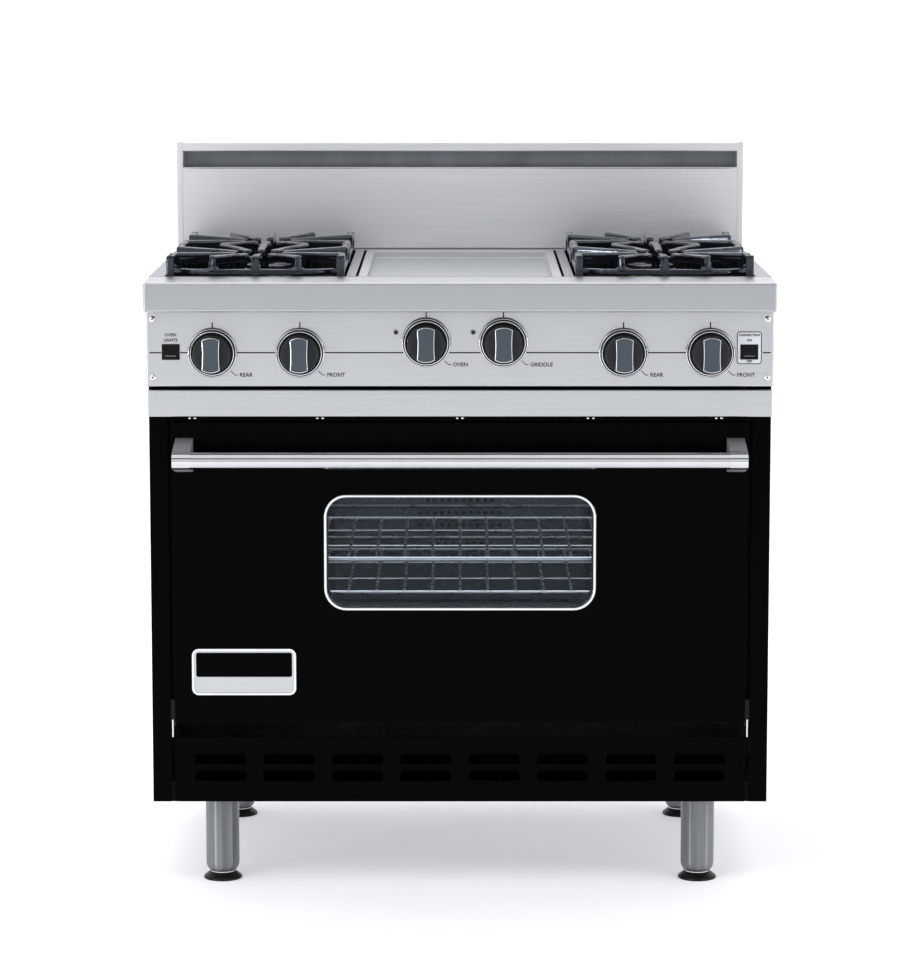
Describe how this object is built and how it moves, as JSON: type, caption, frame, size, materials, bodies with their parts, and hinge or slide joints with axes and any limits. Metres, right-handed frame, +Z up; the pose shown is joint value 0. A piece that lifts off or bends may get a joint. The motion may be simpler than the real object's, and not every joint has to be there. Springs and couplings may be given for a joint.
{
  "type": "freestanding gas range",
  "caption": "Freestanding gas range with open burners under cast grates, a centre griddle, a drop-door convection oven with window, drip tray, low backguard and adjustable legs.",
  "frame": {"origin": "on the floor, under the middle of the range's box", "axes": "+Z up, the front faces -Y, +X to the right of someone facing the range"},
  "size_m": [0.911, 0.732, 1.0801],
  "materials": {
    "black_enamel": "gloss porcelain enamel",
    "stainless_steel": "brushed along the width",
    "chrome": "polished",
    "cast_iron_enamel": "satin black enamel",
    "black_plastic": "satin",
    "tinted_glass": "dark tint",
    "oven_porcelain": "speckled blue-grey enamel",
    "galvanised_steel": "dull zinc",
    "brass": "machined",
    "black_rubber": "moulded"
  },
  "bodies": {
    "range_body": {"base_pan": "galvanised_steel", "back_panel": "galvanised_steel", "heat_shield": "galvanised_steel", "burner_frame": "galvanised_steel", "griddle_burner": "galvanised_steel", "bake_burner": "galvanised_steel", "broil_burner": "galvanised_steel", "fan_motor": "galvanised_steel", "left_door_hinge": "galvanised_steel", "right_door_hinge": "galvanised_steel", "left_side_panel": "black_enamel", "right_side_panel": "black_enamel", "kick_panel": "black_enamel", "landing_ledge": "stainless_steel", "control_panel": "stainless_steel", "backguard": "stainless_steel", "cooktop_deck": "stainless_steel", "leg_front_left": "stainless_steel", "leg_front_right": "stainless_steel", "leg_rear_left": "stainless_steel", "leg_rear_right": "stainless_steel", "door_gasket": "black_rubber", "oven_liner": "oven_porcelain", "oven_floor": "oven_porcelain", "fan_baffle": "oven_porcelain", "left_rack_guide": "chrome", "right_rack_guide": "chrome", "oven_lamp": "tinted_glass", "gas_manifold": "brass", "burner_front_left": "brass", "burner_front_right": "brass", "burner_rear_left": "brass", "burner_rear_right": "brass"},
    "oven_door": {"door_skin": "black_enamel", "door_liner": "oven_porcelain", "door_glass": "tinted_glass", "window_trim": "chrome", "door_handle": "chrome"},
    "drip_tray": {"drip_tray": "stainless_steel"},
    "lower_rack": {"lower_oven_rack": "chrome"},
    "upper_rack": {"upper_oven_rack": "chrome"},
    "rear_left_knob": {"rear_left_knob": "black_plastic"},
    "front_left_knob": {"front_left_knob": "black_plastic"},
    "oven_knob": {"oven_knob": "black_plastic"},
    "griddle_knob": {"griddle_knob": "black_plastic"},
    "rear_right_knob": {"rear_right_knob": "black_plastic"},
    "front_right_knob": {"front_right_knob": "black_plastic"},
    "light_switch": {"light_switch": "black_plastic"},
    "fan_switch": {"fan_switch": "black_plastic"},
    "fan_wheel": {"fan_wheel": "galvanised_steel"},
    "grate_front_left": {"grate_front_left": "cast_iron_enamel"},
    "grate_front_right": {"grate_front_right": "cast_iron_enamel"},
    "grate_rear_left": {"grate_rear_left": "cast_iron_enamel"},
    "grate_rear_right": {"grate_rear_right": "cast_iron_enamel"},
    "griddle": {"griddle_plate": "stainless_steel"},
    "foot_front_left": {"foot_front_left": "black_rubber"},
    "foot_front_right": {"foot_front_right": "black_rubber"},
    "foot_rear_left": {"foot_rear_left": "black_rubber"},
    "foot_rear_right": {"foot_rear_right": "black_rubber"}
  },
  "joints": [
    {"name": "door_hinge", "type": "hinge", "parent": "range_body", "child": "oven_door", "pos_m": [0, -0.257, 0.264], "axis": [1, 0, 0], "range_deg": [0, 90], "stiffness_Nm_per_rad": 6, "springref_deg": -34.38},
    {"name": "drip_tray_slide", "type": "slide", "parent": "range_body", "child": "drip_tray", "axis": [0, -1, 0], "range_m": [0, 0.35]},
    {"name": "lower_rack_slide", "type": "slide", "parent": "range_body", "child": "lower_rack", "axis": [0, -1, 0], "range_m": [0, 0.03]},
    {"name": "upper_rack_slide", "type": "slide", "parent": "range_body", "child": "upper_rack", "axis": [0, -1, 0], "range_m": [0, 0.03]},
    {"name": "rear_left_knob_turn", "type": "hinge", "parent": "range_body", "child": "rear_left_knob", "pos_m": [-0.359, -0.3, 0.804], "axis": [0, -1, 0], "range_deg": [0, 270]},
    {"name": "front_left_knob_turn", "type": "hinge", "parent": "range_body", "child": "front_left_knob", "pos_m": [-0.232, -0.3, 0.804], "axis": [0, -1, 0], "range_deg": [0, 270]},
    {"name": "oven_knob_turn", "type": "hinge", "parent": "range_body", "child": "oven_knob", "pos_m": [-0.049, -0.3, 0.819], "axis": [0, -1, 0], "range_deg": [0, 300]},
    {"name": "griddle_knob_turn", "type": "hinge", "parent": "range_body", "child": "griddle_knob", "pos_m": [0.063, -0.3, 0.819], "axis": [0, -1, 0], "range_deg": [0, 280]},
    {"name": "rear_right_knob_turn", "type": "hinge", "parent": "range_body", "child": "rear_right_knob", "pos_m": [0.237, -0.3, 0.804], "axis": [0, -1, 0], "range_deg": [0, 270]},
    {"name": "front_right_knob_turn", "type": "hinge", "parent": "range_body", "child": "front_right_knob", "pos_m": [0.363, -0.3, 0.804], "axis": [0, -1, 0], "range_deg": [0, 270]},
    {"name": "light_switch_rock", "type": "hinge", "parent": "range_body", "child": "light_switch", "pos_m": [-0.4195, -0.3, 0.8054], "axis": [1, 0, 0], "range_deg": [0, 16]},
    {"name": "fan_switch_rock", "type": "hinge", "parent": "range_body", "child": "fan_switch", "pos_m": [0.4195, -0.3, 0.8054], "axis": [1, 0, 0], "range_deg": [0, 16]},
    {"name": "fan_spin", "type": "hinge", "parent": "range_body", "child": "fan_wheel", "pos_m": [0, 0.251, 0.485], "axis": [0, 1, 0], "continuous": true},
    {"name": "grate_front_left_lift", "type": "slide", "parent": "range_body", "child": "grate_front_left", "axis": [0, 0, 1], "range_m": [0, 0.1]},
    {"name": "grate_front_right_lift", "type": "slide", "parent": "range_body", "child": "grate_front_right", "axis": [0, 0, 1], "range_m": [0, 0.1]},
    {"name": "grate_rear_left_lift", "type": "slide", "parent": "range_body", "child": "grate_rear_left", "axis": [0, 0, 1], "range_m": [0, 0.1]},
    {"name": "grate_rear_right_lift", "type": "slide", "parent": "range_body", "child": "grate_rear_right", "axis": [0, 0, 1], "range_m": [0, 0.1]},
    {"name": "griddle_lift", "type": "slide", "parent": "range_body", "child": "griddle", "axis": [0, 0, 1], "range_m": [0, 0.1]},
    {"name": "foot_front_left_level", "type": "slide", "parent": "range_body", "child": "foot_front_left", "axis": [0, 0, -1], "range_m": [0, 0.028]},
    {"name": "foot_front_right_level", "type": "slide", "parent": "range_body", "child": "foot_front_right", "axis": [0, 0, -1], "range_m": [0, 0.028]},
    {"name": "foot_rear_left_level", "type": "slide", "parent": "range_body", "child": "foot_rear_left", "axis": [0, 0, -1], "range_m": [0, 0.028]},
    {"name": "foot_rear_right_level", "type": "slide", "parent": "range_body", "child": "foot_rear_right", "axis": [0, 0, -1], "range_m": [0, 0.028]}
  ]
}
